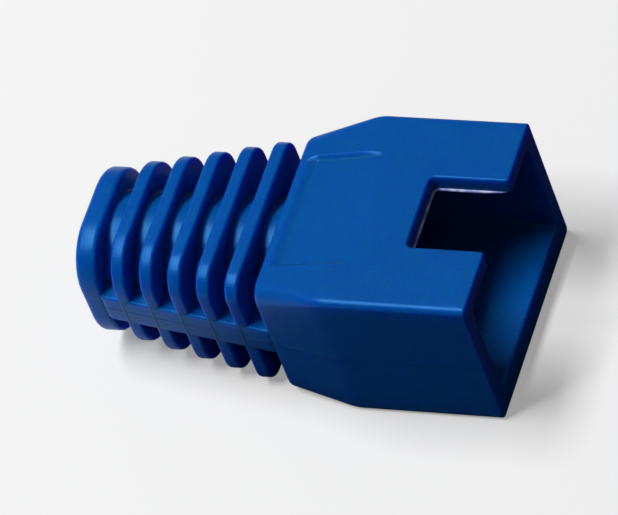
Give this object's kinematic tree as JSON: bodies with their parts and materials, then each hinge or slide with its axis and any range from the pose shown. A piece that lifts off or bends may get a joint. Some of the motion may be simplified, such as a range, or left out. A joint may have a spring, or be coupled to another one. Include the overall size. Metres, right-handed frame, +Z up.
{
  "type": "rj45 strain relief boot",
  "caption": "Soft slip-on boot for a modular network plug: hollow rectangular body with a latch notch at the open mouth and a tapered, ribbed, slotted cable tail.",
  "frame": {"origin": "middle of the footprint, on the plain broad face that the boot lies on", "axes": "+X along the cable axis towards the open mouth, +Y across the width, +Z up through the notched broad face"},
  "size_m": [0.0256, 0.014, 0.0098],
  "materials": {
    "vinyl": "satin"
  },
  "bodies": {
    "root": {"boot": "vinyl"}
  },
  "joints": []
}
